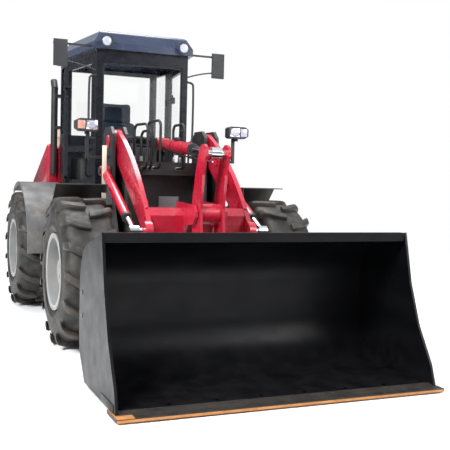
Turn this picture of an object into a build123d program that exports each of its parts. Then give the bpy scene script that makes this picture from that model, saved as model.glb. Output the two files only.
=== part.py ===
from build123d import *
import math
import os

# Wheel loader with an articulated frame. Millimetres. Z is up from the ground, -Y is the
# working direction, -X is the machine's right. The origin is on the ground, half way
# between the cutting edge and the tow jaw.

# Overall layout
bucket_reach = 2011
wheelbase = 2110
rear_overhang = 1290
track = 1582
pivot_share = 0.5

# Wheels
tyre_radius = 557
tyre_width = 400
lug_height = 34
lug_depth = 95
lug_pairs = 15
rim_seat_radius = 262
rim_flange_radius = 286
rim_half_width = 184
rim_wall = 12
disc_offset = 56
disc_wall = 14
spindle_radius = 60
hub_nose_radius = 125
hub_nose_depth = 84
drum_radius = 165
drum_gap = 16

def hydraulic_hoses():
    """Hoses that loop from the top of the tower's beam over and into its front face."""
    beam_top = boom_pivot_z - 150
    py = boom_pivot[0]
    body = Part()
    for x, rise, reach, shift in ((-225, 300, 190, 40), (-165, 250, 130, 35), (-110, 330, 230, 20),
                                  (115, 310, 210, 5), (175, 260, 150, -30)):
        top = beam_top + rise
        path = FilletPolyline(
            (x, py + 50, beam_top), (x, py + 50, top), (x + shift, py - reach, top),
            (x + shift, py - reach, beam_top - 55), (x + shift, py - 20, beam_top - 55),
            radius=hose_bend,
        )
        body += sweep(Plane(path @ 0, z_dir=path % 0) * Circle(hose_radius), path=path)
    return body


# Lift arms
arm_outer_x = 410
arm_wall = 35
boom_pivot_ahead = -450
boom_pivot_z = 1560
bucket_pin_ahead = 880
bucket_pin_z = 300
pin_radius = 28
run_gap = 0.1
face_gap = 0.3
move_gap = 6

# Tower
tower_plate = 25
tower_width = 290
deck_z = 760
deck_wall = 30
chassis_bottom = 470
chassis_half = 205
axle_notch_half = 145
axle_notch_height = 130
hinge_pin_radius = 32

# Bellcrank and tilt gear
crank_ahead = 620
crank_z = 1020
crank_top_ahead = 735
crank_top_z = 1450
crank_low_ahead = 760
crank_low_z = 420
crank_half = 95
crank_plate = 20
link_half = 30
link_bucket_ahead = 930
link_bucket_z = 620
tilt_barrel_radius = 48
tilt_rod_radius = 28

# Lift cylinders
lift_base_ahead = -380
lift_base_z = 1320
lift_eye_ahead = 470
lift_eye_z = 890
lift_barrel_radius = 37.5
lift_rod_radius = 24
cylinder_pin_radius = 22

# Hoses
hose_radius = 11
hose_bend = 55

# Steering cylinder, from the centre hinge
steer_base = (170, 290)
steer_eye = (175, -265)
steer_z = 620
steer_fork = 36

# Bucket
bucket_width = 2050
bucket_height = 950
bucket_lip_ahead = 1587
bucket_back_ahead = 1065
bucket_side_wall = 16
bucket_shell_wall = 12
bucket_bend_radius = 340
bucket_floor_z = 28
bucket_back_top = 600
bucket_shoulder_ahead = 150
bucket_shoulder_z = 850
edge_depth = 200
edge_wall = 20
edge_overhang = 12
lip_section = 55

# Cab
cab_front = -30
cab_depth = 1230
cab_front_half = 425
cab_door_half = 540
cab_door_back = 830
cab_rear_half = 500
cab_floor_z = 900
cab_top_z = 2400
cab_wall = 40
pillar = 55
roof_height = 165
roof_overhang = 35
roof_edge_radius = 45
roof_lamp_x = 358
roof_lamp_rise = 62
roof_lamp_radius = 44
visor_z = 2290
windscreen_sill = 1180
side_sill = 1700
glass_wall = 6
door_gap = 6
door_front = 75
door_back = 60
door_low = windscreen_sill - cab_floor_z
door_head = 60

# Rear body
hood_half = 500
hood_front_z = 1665
hood_rear_z = 1215
hood_low_z = 1000
hood_wall = 8
hood_length = 1060
hood_edge_radius = 70
grille_slots = 5
grille_slot = 11
grille_half = 360
counterweight_depth = 260
tow_bore_radius = 20
tow_bore_inset = 38
tow_plate = 35
tow_jaw_low = 560
tow_jaw_gap = 140
counterweight_half = 560
fender_gap = 90
fender_wall = 10
fender_inner_x = 560
fender_outer_x = 935

# Places worked out from the layout
front_y = bucket_reach - (bucket_reach + wheelbase + rear_overhang) / 2
rear_y = front_y + wheelbase
pivot_y = front_y + wheelbase * pivot_share
axle_z = tyre_radius
wheel_x = track / 2
boom_pivot = (front_y - boom_pivot_ahead, boom_pivot_z)
bucket_pin = (front_y - bucket_pin_ahead, bucket_pin_z)
crank_pin = (front_y - crank_ahead, crank_z)
crank_top = (front_y - crank_top_ahead, crank_top_z)
crank_low = (front_y - crank_low_ahead, crank_low_z)
link_pin = (front_y - link_bucket_ahead, link_bucket_z)
lift_base = (front_y - lift_base_ahead, lift_base_z)
lift_eye = (front_y - lift_eye_ahead, lift_eye_z)
cab_y = pivot_y + cab_front
rear_end = rear_y + rear_overhang
arm_inner_x = arm_outer_x - arm_wall
door_hinge_x = cab_door_half + 4
tower_inner_x = arm_inner_x - 20 - tower_plate
tower_outer_x = arm_outer_x + 25
hood_y = cab_y + cab_depth + 20
hood_hinge_z = hood_front_z - 25 - hood_wall
lift_x = tower_outer_x + tower_plate + move_gap + lift_barrel_radius


def block(x0, x1, y0, y1, z0, z1):
    """Box between two corners."""
    return Pos((x0 + x1) / 2, (y0 + y1) / 2, (z0 + z1) / 2) * Box(x1 - x0, y1 - y0, z1 - z0)


def plate(outline, x0, x1):
    """Flat plate drawn in the side view as points of y and z, from x0 to x1."""
    face = Plane.YZ * make_face(Polyline(*outline, close=True))
    return Pos(x0, 0, 0) * extrude(face, amount=x1 - x0)


def shape_plate(edges, x0, x1):
    """Flat plate whose outline is made of lines and arcs in the side view."""
    face = Plane.YZ * make_face(edges)
    return Pos(x0, 0, 0) * extrude(face, amount=x1 - x0)


def slab(outline, z0, z1):
    """Flat plate drawn in the plan view as points of x and y, from z0 to z1."""
    return Pos(0, 0, z0) * extrude(make_face(Polyline(*outline, close=True)), amount=z1 - z0)


def rod_x(radius, x0, x1, place):
    """Round bar along X through a point of the side view."""
    y, z = place
    return Pos((x0 + x1) / 2, y, z) * Rot(0, 90, 0) * Cylinder(radius, x1 - x0)


def rod_z(radius, z0, z1, x, y):
    """Round upright bar."""
    return Pos(x, y, (z0 + z1) / 2) * Cylinder(radius, z1 - z0)


def both(piece):
    """A piece with its mirror image on the other side of the machine."""
    return piece + mirror(piece, about=Plane.YZ)


def turned(profile):
    """Solid of revolution about X from points of x and radius."""
    return revolve(make_face(Polyline(*profile, close=True)), axis=Axis.X)


# Wheels, drawn with X pointing outboard from the middle of the tyre

def tyre_section(tread_radius, half, shoulder):
    """Section of a tyre in x and radius, from its bead over the sidewall to the tread."""
    bead = rim_half_width - rim_wall
    flange = rim_flange_radius + 1
    side_radius = tyre_radius - 165
    left = ThreePointArc((-bead, flange), (-half, side_radius), (-half + shoulder, tread_radius - 30))
    right = ThreePointArc((half - shoulder, tread_radius - 30), (half, side_radius), (bead, flange))
    tread = Polyline(
        (-half + shoulder, tread_radius - 30), (-half + shoulder + 36, tread_radius),
        (half - shoulder - 36, tread_radius), (half - shoulder, tread_radius - 30),
    )
    seat = Polyline(
        (bead, flange), (bead, rim_seat_radius), (-bead, rim_seat_radius), (-bead, flange)
    )
    return make_face([left, tread, right, seat])


def lug():
    """One tread lug, which sweeps from the middle of the tread back over the shoulder."""
    half = tyre_width / 2
    outline = [(6, -30), (6, 24), (70, 38), (half, 104), (half, 50), (80, -18)]
    bar = slab(outline, tyre_radius - lug_depth, tyre_radius + 5)
    envelope = turned([
        (-half, tyre_radius - lug_depth), (-half, tyre_radius - 62), (-half + 24, tyre_radius - 6),
        (-half + 40, tyre_radius), (half - 40, tyre_radius), (half - 24, tyre_radius - 6),
        (half, tyre_radius - 62), (half, tyre_radius - lug_depth),
    ])
    return bar & envelope


def tyre():
    """Tyre with lugs that alternate from side to side."""
    body = revolve(tyre_section(tyre_radius - lug_height, tyre_width / 2 - 8, 20), axis=Axis.X)
    right = lug()
    left = Rot(180 / lug_pairs, 0, 0) * mirror(right, about=Plane.YZ)
    turns = [Rot(360 / lug_pairs * i, 0, 0) for i in range(lug_pairs)]
    return body + [turn * one for turn in turns for one in (right, left)]


def rim():
    edge = rim_half_width
    inner = rim_seat_radius - rim_wall
    barrel = turned([
        (-edge, inner), (-edge, rim_flange_radius), (-edge + rim_wall, rim_flange_radius),
        (-edge + rim_wall, rim_seat_radius), (edge - rim_wall, rim_seat_radius),
        (edge - rim_wall, rim_flange_radius), (edge, rim_flange_radius), (edge, inner),
    ])
    nose = disc_offset + hub_nose_depth
    disc = turned([
        (disc_offset, spindle_radius + run_gap), (disc_offset, inner + 2),
        (disc_offset + disc_wall, inner + 2), (disc_offset + disc_wall, hub_nose_radius),
        (nose - 24, hub_nose_radius - 5), (nose, hub_nose_radius - 35), (nose, 0),
        (nose - 24, 0), (nose - 24, spindle_radius + run_gap),
    ])
    return barrel + disc


def axle(axle_y, pad_x, pad_top):
    """Rigid axle: tube, differential, hub drums and the spindles that carry the wheels."""
    drum_end = wheel_x + disc_offset - drum_gap
    spindle_end = wheel_x + disc_offset + hub_nose_depth - 27
    half = [
        (spindle_end, 0), (spindle_end, spindle_radius), (drum_end, spindle_radius),
        (drum_end, drum_radius), (drum_end - 180, drum_radius), (drum_end - 230, 105), (210, 95),
        (120, 165),
    ]
    profile = half + [(-x, r) for x, r in reversed(half)]
    body = Pos(0, axle_y, axle_z) * turned(profile)
    body += Pos(0, axle_y, axle_z) * Rot(90, 0, 0) * Cylinder(150, 330)
    body += both(block(pad_x - 20, pad_x + 8, axle_y - 90, axle_y + 90, axle_z, pad_top))
    return body


def placed(piece, side, axle_y):
    """A wheel piece at its end of an axle: side is -1 on the right, 1 on the left."""
    if side < 0:
        piece = mirror(piece, about=Plane.YZ)
    return Pos(side * wheel_x, axle_y, axle_z) * piece


# Hydraulic cylinders, drawn along -Y from the base pin, with both pins along X

def cylinder_barrel(length, radius, rod_radius, eye_half):
    bore = radius - 7
    body = Pos(0, -(length + 30) / 2, 0) * Rot(90, 0, 0) * Cylinder(radius, length - 30)
    body -= Pos(0, -(length + 35) / 2, 0) * Rot(90, 0, 0) * Cylinder(bore, length - 115)
    body -= Pos(0, -length + 20, 0) * Rot(90, 0, 0) * Cylinder(rod_radius + run_gap, 60)
    eye = rod_x(radius + 4, -eye_half, eye_half, (0, 0))
    body += eye
    body -= rod_x(cylinder_pin_radius + run_gap, -eye_half - 1, eye_half + 1, (0, 0))
    return body


def cylinder_rod(length, start, rod_radius, piston_radius, eye_half, pin_low, pin_high):
    """Rod from its piston to its eye, with the eye's pin, which reaches from pin_low to pin_high."""
    body = Pos(0, -(length + start) / 2, 0) * Rot(90, 0, 0) * Cylinder(rod_radius, length - start)
    body += Pos(0, -start - 15, 0) * Rot(90, 0, 0) * Cylinder(piston_radius, 30)
    body += rod_x(rod_radius + 16, -eye_half, eye_half, (-length, 0))
    body += rod_x(cylinder_pin_radius, pin_low, pin_high, (-length, 0))
    return body


def aimed(piece, base, end, x):
    """A cylinder piece turned to point from its base pin to its rod's eye."""
    angle = math.degrees(math.atan2(base[1] - end[1], base[0] - end[0]))
    return Pos(x, base[0], base[1]) * Rot(angle, 0, 0) * piece


def span(base, end):
    return math.dist(base, end)


lift_length = span(lift_base, lift_eye)
tilt_length = span(boom_pivot, crank_top)


def lift_barrels():
    one = cylinder_barrel(lift_length * 0.8, lift_barrel_radius, lift_rod_radius, lift_barrel_radius)
    return both(aimed(one, lift_base, lift_eye, lift_x))


def lift_rods():
    pin_low = arm_outer_x + 20 + face_gap - lift_x
    one = cylinder_rod(
        lift_length, 130, lift_rod_radius, lift_barrel_radius - 7 - run_gap, 34, pin_low, 36
    )
    return both(aimed(one, lift_base, lift_eye, lift_x))


def tilt_barrel():
    one = cylinder_barrel(tilt_length * 0.62, tilt_barrel_radius, tilt_rod_radius,
                          tilt_barrel_radius + move_gap - face_gap)
    return aimed(one, boom_pivot, crank_top, 0)


def tilt_rod():
    reach = crank_half - crank_plate - face_gap
    one = cylinder_rod(
        tilt_length, 430, tilt_rod_radius, tilt_barrel_radius - 7 - run_gap, 38, -reach, reach
    )
    return aimed(one, boom_pivot, crank_top, 0)


# Front frame

def chassis_plate(x, y0, y1, axle_y, top):
    """Upright side plate of a chassis, cut out above its axle."""
    notch = axle_z + axle_notch_height
    outline = [
        (y0, chassis_bottom), (axle_y - axle_notch_half, chassis_bottom),
        (axle_y - axle_notch_half + 30, notch), (axle_y + axle_notch_half - 30, notch),
        (axle_y + axle_notch_half, chassis_bottom), (y1, chassis_bottom), (y1, top), (y0, top),
    ]
    return plate(outline, x - 25, x)


def front_frame():
    """Chassis plates, deck and the tongues of the centre hinge."""
    back = pivot_y - 350
    body = both(chassis_plate(chassis_half, front_y - 230, back, front_y, deck_z))
    body += block(
        -chassis_half, chassis_half, front_y - 230, front_y - 205, chassis_bottom, deck_z
    )
    body += block(-chassis_half, chassis_half, back - 25, back, chassis_bottom, deck_z)
    py = boom_pivot[0]
    outer = tower_outer_x + tower_plate
    body += block(-outer, outer, py - tower_width / 2 - 160, py + tower_width / 2 + 20,
                  deck_z, deck_z + deck_wall)
    for z0 in (chassis_bottom + 10, deck_z - 50):
        tongue = slab([(-150, back - 20), (150, back - 20), (90, pivot_y), (-90, pivot_y)],
                      z0, z0 + 40)
        tongue += rod_z(90, z0, z0 + 40, 0, pivot_y)
        body += tongue
    body -= rod_z(hinge_pin_radius + run_gap, chassis_bottom, deck_z, 0, pivot_y)
    return body


def tower():
    """The two columns that carry the lift arms, with their beam, pins and tilt cylinder ears."""
    body = Part()
    top = boom_pivot_z + 120
    py = boom_pivot[0]
    outline = [
        (py - tower_width / 2 - 160, deck_z + deck_wall), (py - tower_width / 2, lift_base_z - 240),
        (py - tower_width / 2 + 15, top - 60), (py - 60, top), (py + 110, top),
        (py + tower_width / 2 + 20, top - 60), (py + tower_width / 2 + 20, deck_z + deck_wall),
    ]
    for x in (tower_inner_x, tower_outer_x):
        body += both(plate(outline, x, x + tower_plate))
    outer = tower_outer_x + tower_plate
    body += both(block(tower_inner_x, outer, py + tower_width / 2, py + tower_width / 2 + 20,
                       deck_z + deck_wall, boom_pivot_z - 130))
    beam_top = boom_pivot_z - 150
    body += block(-tower_inner_x, tower_inner_x, py - 20, py + tower_width / 2,
                  beam_top - 110, beam_top)
    body += block(-tower_inner_x, tower_inner_x, py + tower_width / 2 - 20, py + tower_width / 2,
                  deck_z + deck_wall, beam_top)
    ear = [(py - 45, boom_pivot_z - 10), (py - 45, boom_pivot_z + 40), (py + 50, boom_pivot_z + 40),
           (py + 120, beam_top - 5), (py - 20, beam_top - 5)]
    ear_x = tilt_barrel_radius + move_gap
    body += both(plate(ear, ear_x, ear_x + 25))
    body += rod_x(cylinder_pin_radius, -ear_x - 25, ear_x + 25, boom_pivot)
    body += both(rod_x(pin_radius, tower_inner_x, outer, boom_pivot))
    pin_end = lift_x + lift_barrel_radius + 1
    body += both(rod_x(cylinder_pin_radius, outer - 5, pin_end, lift_base))
    body += both(rod_x(cylinder_pin_radius + 9, pin_end, pin_end + 8, lift_base))
    return body


def front_fender(side):
    """Flat black guard behind the top of the tyre, with a flap that slopes down behind it."""
    z = tyre_radius * 2 + fender_gap + 10
    y = front_y
    outline = [(y + 30, z - 8), (y + 30, z), (y + 190, z), (y + 350, z - 160), (y + 490, z - 300),
               (y + 480, z - 306), (y + 344, z - 168), (y + 186, z - 8)]
    guard = plate(outline, fender_inner_x + 7, fender_outer_x - 5)
    outer = tower_outer_x + tower_plate
    arm_z = z - 8
    guard += block(fender_inner_x + 7, fender_inner_x + 15, y + 35, y + 186, arm_z - 60, arm_z)
    guard += block(outer + face_gap, fender_inner_x + 15, y + 330, y + 344, z - 205, z - 165)
    guard += block(outer + face_gap, outer + 3, y + 330, y + 344, z - 205, z - 165)
    if side < 0:
        guard = mirror(guard, about=Plane.YZ)
    return guard


def headlamp_posts():
    y = front_y + 430
    z = boom_pivot_z - 130
    outer = tower_outer_x + tower_plate
    post = block(outer + face_gap, 650, y - 12, y + 12, z - 12, z + 12)
    post += block(626, 650, y - 12, y + 12, z - 12, boom_pivot_z + 71 - face_gap)
    return both(post)


def headlamps():
    y = front_y + 430
    z = boom_pivot_z + 60
    outline = [(-90, -38), (-70, -52), (60, -52), (92, -30), (92, 30), (60, 48), (-70, 48), (-90, 34)]
    face = Plane.XZ * make_face(Polyline(*outline, close=True))
    lamp = Pos(655, y + 8, z + 63) * extrude(face, amount=90)
    return both(lamp)


def hydraulic_hoses():
    """Hoses that loop from the top of the tower's beam over and into its front face."""
    beam_top = boom_pivot_z - 150
    py = boom_pivot[0]
    body = Part()
    for x, rise, reach, shift in ((-225, 300, 190, 40), (-165, 250, 130, 35), (-110, 330, 230, 20),
                                  (115, 310, 210, 5), (175, 260, 150, -30)):
        top = beam_top + rise
        path = FilletPolyline(
            (x, py + 50, beam_top), (x, py + 50, top), (x + shift, py - reach, top),
            (x + shift, py - reach, beam_top - 55), (x + shift, py - 20, beam_top - 55),
            radius=hose_bend,
        )
        body += sweep(Plane(path @ 0, z_dir=path % 0) * Circle(hose_radius), path=path)
    return body


# Lift arms

def boom():
    y = front_y
    front_line = ThreePointArc((y + 380, 1650), (y - 120, 1345), (y - 470, 970))
    low_line = Line((y - 470, 970), (y - 945, 350))
    toe = Line((y - 945, 350), (y - 835, 245))
    back_line = Polyline((y - 835, 245), (y - 420, 850), (y - 150, 1050), (y + 90, 1210),
                         (y + 470, 1470))
    heel = Line((y + 470, 1470), (y + 380, 1650))
    arm = shape_plate([front_line, low_line, toe, back_line, heel], arm_inner_x, arm_outer_x)
    arm += rod_x(100, arm_inner_x - 14, arm_outer_x + 19, boom_pivot)
    arm += rod_x(85, arm_inner_x - 10, arm_outer_x + 10, bucket_pin)
    arm += rod_x(70, arm_inner_x, arm_outer_x + 20, lift_eye)
    arm -= rod_x(pin_radius + run_gap, arm_inner_x - 20, arm_outer_x + 25, boom_pivot)
    arm -= rod_x(pin_radius + run_gap, arm_inner_x - 20, arm_outer_x + 25, bucket_pin)
    body = both(arm)
    box = [(y - 440, 830), (y - 440, 1000), (y - 400, 1055), (y - 250, 1055), (y - 230, 1020),
           (y - 230, 930), (y - 300, 830)]
    cross = plate(box, -arm_inner_x, arm_inner_x)
    body += cross
    ear = [(y - 290, 1100), (y - 640, 1085), (y - 690, 1040), (y - 690, 1000), (y - 640, 945),
           (y - 500, 935), (y - 430, 850), (y - 300, 900)]
    outer = crank_half + move_gap
    body += both(plate(ear, outer, outer + 22))
    body += rod_x(pin_radius, -outer - 5, outer + 5, crank_pin)
    return body


def bellcrank():
    inner = crank_half - crank_plate
    y = front_y
    outline = [(y - 800, 1490), (y - 670, 1490), (y - 600, 1300), (y - 535, 1060), (y - 560, 900),
               (y - 700, 400), (y - 820, 400), (y - 725, 900), (y - 710, 1060), (y - 740, 1300)]
    body = both(plate(outline, inner, crank_half))
    body += rod_x(75, -crank_half, crank_half, crank_pin)
    body += both(rod_x(62, inner, crank_half, crank_top))
    body += both(rod_x(60, inner, crank_half, crank_low))
    body -= rod_x(pin_radius + run_gap, -crank_half - 1, crank_half + 1, crank_pin)
    body -= rod_x(cylinder_pin_radius + run_gap, -crank_half - 1, crank_half + 1, crank_low)
    return body


def tilt_link():
    reach = link_half + 6 - face_gap
    y0, z0 = crank_low
    y1, z1 = link_pin
    length = span(crank_low, link_pin)
    angle = math.degrees(math.atan2(z0 - z1, y0 - y1))
    bar = block(-link_half, link_half, -length, 0, -38, 38)
    link = Pos(0, y0, z0) * Rot(angle, 0, 0) * bar
    link += rod_x(48, -link_half, link_half, crank_low)
    link += rod_x(48, -link_half, link_half, link_pin)
    link += rod_x(cylinder_pin_radius, -crank_half - 6, crank_half + 6, crank_low)
    link += rod_x(cylinder_pin_radius, -reach, reach, link_pin)
    return link


# Bucket

def bucket_back(inset):
    """Line of the bucket's floor, bend and back wall, set in from its outside."""
    tip = front_y - bucket_reach + 120
    floor = bucket_floor_z + inset
    r = bucket_bend_radius - inset
    back = front_y - bucket_back_ahead - inset
    heel = front_y - bucket_back_ahead - bucket_bend_radius
    bend_z = bucket_floor_z + bucket_bend_radius
    lip = front_y - bucket_lip_ahead
    s = math.sqrt(0.5)
    shoulder = (back - bucket_shoulder_ahead + 0.7 * inset, bucket_shoulder_z - inset)
    return [
        Line((tip, floor), (heel, floor)),
        ThreePointArc((heel, floor), (heel + r * s, bend_z - r * s), (back, bend_z)),
        Line((back, bend_z), (back, bucket_back_top)),
        TangentArc((back, bucket_back_top), shoulder, tangent=(0, 1)),
        Line(shoulder, (lip, bucket_height - inset)),
    ]


def bucket_shell():
    half = bucket_width / 2 - edge_overhang
    inside = half - bucket_side_wall
    outer = bucket_back(0)
    inner = bucket_back(bucket_shell_wall)
    tip_line = Line(outer[0] @ 0, inner[0] @ 0)
    lip_line = Line(outer[-1] @ 1, inner[-1] @ 1)
    shell = shape_plate(outer + inner + [tip_line, lip_line], -inside, inside)
    lip = front_y - bucket_lip_ahead
    shell += block(-inside, inside, lip, lip + lip_section, bucket_height - lip_section, bucket_height)
    tip = front_y - bucket_reach
    back = front_y - bucket_back_ahead
    side = [
        (lip, bucket_height + 2), (back - bucket_shoulder_ahead, bucket_shoulder_z + 4),
        (back - 76, 808), (back - 30, 744), (back, 640), (back, 360), (back - 12, 200),
        (back - 150, bucket_floor_z), (tip + 70, bucket_floor_z),
        (tip + 110, 150), (tip + 250, 380), (tip + 350, 640),
    ]
    shell += both(plate(side, inside, half))
    return shell


def cutting_edge():
    tip = front_y - bucket_reach
    outline = [(tip, bucket_floor_z - 8), (tip + 34, bucket_floor_z - edge_wall),
               (tip + edge_depth, bucket_floor_z - edge_wall), (tip + edge_depth, bucket_floor_z),
               (tip, bucket_floor_z)]
    edge = plate(outline, -bucket_width / 2, bucket_width / 2)
    back = [(tip + 60, bucket_floor_z), (tip + 120, bucket_floor_z + 12), (tip + 120, bucket_floor_z)]
    half = bucket_width / 2 - edge_overhang - bucket_side_wall
    edge += plate(back, -half, half)
    return edge


def quick_hitch():
    """Coupling frame between the arms and the bucket, with the ears of both pins."""
    y = front_y - bucket_back_ahead + face_gap
    body = block(-480, 480, y, y + 30, 160, 240)
    body += both(block(crank_half + 20, 480, y, y + 30, 640, 700))
    for x in (arm_outer_x + 16, arm_inner_x - 41):
        ear = [(y, 160), (y, 700), (y + 30, 700), (y + 60, 420), (y + 200, 380), (y + 240, 330),
               (y + 240, 260), (y + 200, 215), (y + 60, 160)]
        body += both(plate(ear, x, x + 25))
    body += both(rod_x(pin_radius, arm_inner_x - 41, arm_outer_x + 41, bucket_pin))
    inner = link_half + 6
    ear = [(y, 160), (y, 700), (y + 60, 700), (y + 160, 670), (y + 175, 600), (y + 130, 540),
           (y + 30, 420), (y + 30, 160)]
    body += both(plate(ear, inner, inner + 22))
    return body


# Rear frame

def rear_frame():
    """Chassis plates, front cross plate, the clevis of the centre hinge and the cab's rests."""
    front = pivot_y + 230
    half = chassis_half + 45
    end = rear_end - counterweight_depth
    body = both(chassis_plate(half, front, end, rear_y, cab_floor_z - 60))
    for y in (pivot_y + 300, pivot_y + 1080):
        body += both(block(half - 45, half, y, y + 90, cab_floor_z - 61, cab_floor_z))
    hinge_y = hood_y + 15
    for x in (280, 320):
        upright = [(hinge_y - 12, cab_floor_z - 100), (hinge_y - 12, hood_hinge_z + 12),
                   (hinge_y + 12, hood_hinge_z + 12), (hinge_y + 40, cab_floor_z - 100)]
        body += both(plate(upright, x, x + 10))
    body += both(block(half - 5, 330, hinge_y - 12, hinge_y + 40, cab_floor_z - 110,
                       cab_floor_z - 90))
    body += both(rod_x(8, 275, 335, (hinge_y, hood_hinge_z)))
    body += block(-half, half, front, front + 25, chassis_bottom - 30, cab_floor_z - 60)
    body += block(-half, half, end - 25, end, chassis_bottom, cab_floor_z - 60)
    body += block(-half, half, rear_y - 320, rear_y - 295, chassis_bottom + 200, cab_floor_z - 60)
    low = chassis_bottom + 10 - face_gap
    high = deck_z - 10 + face_gap
    for z0, z1 in ((low - 40, low), (high, high + 40)):
        lug = slab([(-170, front + 20), (170, front + 20), (90, pivot_y), (-90, pivot_y)], z0, z1)
        lug += rod_z(90, z0, z1, 0, pivot_y)
        body += lug
    body += rod_z(hinge_pin_radius, high - 60, high + 10, 0, pivot_y)
    body += rod_z(hinge_pin_radius, low - 10, low + 60, 0, pivot_y)
    return body


def counterweight():
    end = rear_end - counterweight_depth
    outline = [(-counterweight_half, end), (counterweight_half, end),
               (counterweight_half, end + 130), (counterweight_half - 130, rear_end - 30),
               (-counterweight_half + 130, rear_end - 30), (-counterweight_half, end + 130)]
    body = slab(outline, chassis_bottom - 40, hood_low_z - face_gap)
    body -= block(-90, 90, rear_end - 140, rear_end, 0, hood_low_z)
    for z in (tow_jaw_low - tow_plate, tow_jaw_low + tow_jaw_gap):
        body += block(-90, 90, rear_end - 145, rear_end, z, z + tow_plate)
        body -= rod_z(tow_bore_radius, z - 1, z + tow_plate + 1, 0, rear_end - tow_bore_inset)
    return body


def cab_outline(inset, low_gap=0):
    """Plan of the cab's outside, set in by a distance."""
    y0 = cab_y + inset + low_gap
    y1 = cab_y + cab_door_back
    y2 = cab_y + cab_depth - inset
    a = cab_front_half - inset
    b = cab_door_half - inset
    c = cab_rear_half - inset
    return [(-a, y0), (a, y0), (b, y1), (c, y2), (-c, y2), (-b, y1)]


def door_panel(side, y0, y1, z0, z1, x_in, wall):
    """Slab that follows the slanted side of the cab."""
    slope = (cab_door_half - cab_front_half) / cab_door_back
    a = cab_front_half + slope * (y0 - cab_y) - x_in
    b = cab_front_half + slope * (y1 - cab_y) - x_in
    pts = [(a - wall, y0), (a, y0), (b, y1), (b - wall, y1)]
    if side < 0:
        pts = [(-x, y) for x, y in pts]
    return slab(pts, z0, z1)


def cab_tub():
    """Floor and low walls of the cab, up to the sills of its doors."""
    outer = slab(cab_outline(0), cab_floor_z, windscreen_sill)
    return outer - slab(cab_outline(cab_wall), cab_floor_z + cab_wall, cab_top_z)


def cab_frame():
    """Pillars and panels of the cab above its tub, with their window and door openings."""
    outer = slab(cab_outline(0), windscreen_sill, cab_top_z)
    body = outer - slab(cab_outline(cab_wall), cab_floor_z, cab_top_z + 1)
    head = cab_top_z - pillar
    front_half = cab_front_half - pillar
    body -= block(-front_half, front_half, cab_y - 1, cab_y + cab_wall + 1, windscreen_sill - 1, visor_z)
    rear_half = cab_rear_half - pillar
    back = cab_y + cab_depth
    body -= block(-rear_half, rear_half, back - cab_wall - 1, back + 1, side_sill, head)
    for side in (-1, 1):
        body -= door_panel(side, cab_y + door_front, cab_y + cab_door_back - door_back,
                           windscreen_sill - 1, cab_top_z - door_head, -20, cab_wall + 60)
        y0 = cab_y + cab_door_back + 30
        y1 = back - pillar
        slope = (cab_rear_half - cab_door_half) / (cab_depth - cab_door_back)
        a = cab_door_half + slope * (y0 - cab_y - cab_door_back) + 20
        b = cab_door_half + slope * (y1 - cab_y - cab_door_back) + 20
        pts = [(side * (a - 80), y0), (side * a, y0), (side * b, y1), (side * (b - 80), y1)]
        body -= slab(pts, side_sill, head)
        body += door_hinge(side, False)
    return body


def door_hinge(side, of_door):
    """Both hinges of a door: the door's knuckles, or the cab's knuckles with their pins."""
    y = cab_y + cab_door_back - door_back - door_gap / 2
    x = door_hinge_x
    body = Part()
    for z in (cab_floor_z + 320, cab_top_z - 330):
        if of_door:
            body += rod_z(10, z - 30, z + 30, x, y)
            body += block(x - 24, x + 6, y - 70, y, z - 30, z + 30)
            body -= block(x - 40, x - 12, y - door_gap / 2, y + 20, z - 40, z + 40)
            body -= rod_z(6 + run_gap, z - 31, z + 31, x, y)
        else:
            body += rod_z(10, z + 30 + face_gap, z + 60, x, y)
            body += block(x - 26, x + 6, y, y + 50, z + 30 + face_gap, z + 60)
            body += rod_z(6, z - 30, z + 55, x, y)
    if side < 0:
        body = mirror(body, about=Plane.YZ)
    return body


def cab_roof():
    outline = cab_outline(-roof_overhang)
    low = slab(outline, cab_top_z, cab_top_z + 60)
    low -= slab(cab_outline(cab_wall), cab_top_z - 1, cab_top_z + 30)
    y_mid = cab_y + cab_depth / 2
    cap = loft([
        Pos(0, 0, cab_top_z + 60) * make_face(Polyline(*outline, close=True)),
        Pos(0, 0, cab_top_z + roof_height)
        * make_face(Polyline(*[(x * 0.86, y_mid + (y - y_mid) * 0.94) for x, y in outline], close=True)),
    ])
    cap = fillet(cap.faces().sort_by(Axis.Z)[-1].edges(), roof_edge_radius)
    body = low + cap
    lamp_place = Pos(roof_lamp_x, outline[0][1] - 15, cab_top_z + roof_lamp_rise) * Rot(90, 0, 0)
    body += both(lamp_place * Cylinder(roof_lamp_radius + 14, 60))
    body -= both(lamp_place * Cylinder(roof_lamp_radius + face_gap, 62))
    return body


def windscreen():
    half = cab_front_half - pillar - face_gap
    y = cab_y + 14
    return block(-half, half, y, y + glass_wall, windscreen_sill + face_gap, visor_z - face_gap)


def rear_glass():
    half = cab_rear_half - pillar - face_gap
    y = cab_y + cab_depth - 20
    glass = block(-half, half, y, y + glass_wall, side_sill + face_gap, cab_top_z - pillar - face_gap)
    y0 = cab_y + cab_door_back + 30 + face_gap
    y1 = cab_y + cab_depth - pillar - face_gap
    slope = (cab_rear_half - cab_door_half) / (cab_depth - cab_door_back)
    a = cab_door_half + slope * (y0 - cab_y - cab_door_back) - 15
    b = cab_door_half + slope * (y1 - cab_y - cab_door_back) - 15
    pts = [(a - glass_wall, y0), (a, y0), (b, y1), (b - glass_wall, y1)]
    quarter = slab(pts, side_sill + face_gap, cab_top_z - pillar - face_gap)
    return glass + both(quarter)


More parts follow.
